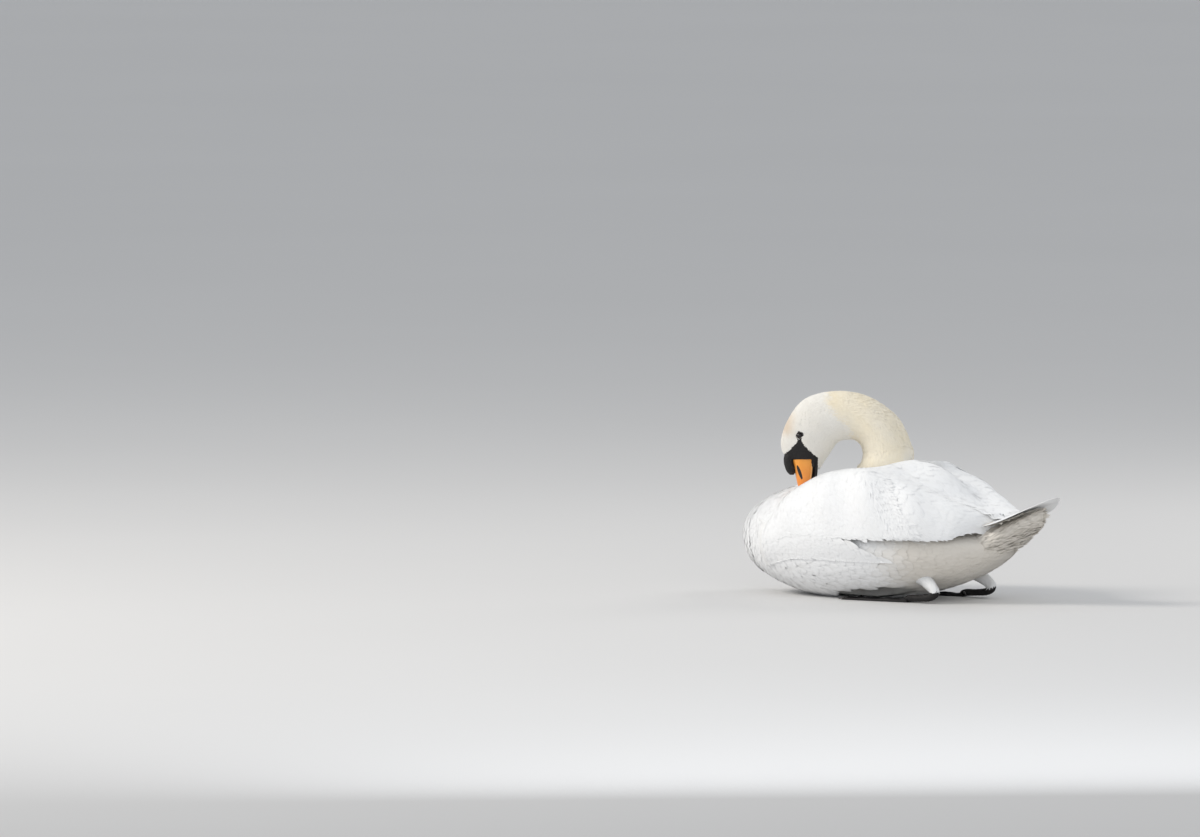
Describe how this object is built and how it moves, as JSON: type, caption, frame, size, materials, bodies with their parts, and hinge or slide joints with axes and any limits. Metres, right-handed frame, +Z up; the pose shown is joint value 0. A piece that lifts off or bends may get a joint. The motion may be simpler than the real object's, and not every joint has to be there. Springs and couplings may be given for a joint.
{
  "type": "mute swan, still life-size model",
  "caption": "Still, life-size mute swan resting on its belly with its neck laid back in an arch and its bill tucked down at the left wing.",
  "frame": {"origin": "middle of the flat under the belly", "axes": "+Z up, -X towards the breast, -Y towards the bird's left side, +X towards the tail"},
  "size_m": [0.717, 0.346, 0.389],
  "materials": {
    "white_plumage": "clean white feathers, soft and matt",
    "cream_plumage": "short cream-tinted neck feathers, matt",
    "orange_bill": "smooth orange horn, satin",
    "black_skin": "bare black skin and horn, matt to satin",
    "dark_eye": "wet dark brown eye, glossy"
  },
  "bodies": {
    "root": {"trunk": "white_plumage", "neck_lower": "cream_plumage", "neck_middle": "cream_plumage", "neck_upper": "cream_plumage", "head": "white_plumage", "knob": "black_skin", "bill_upper": "orange_bill", "bill_lower": "black_skin", "eye_left": "dark_eye", "eye_right": "dark_eye", "wing_left": "white_plumage", "wing_right": "white_plumage", "tail": "white_plumage", "undertail": "white_plumage", "leg_left": "black_skin", "leg_right": "black_skin", "foot_left": "black_skin", "foot_right": "black_skin"}
  },
  "joints": []
}
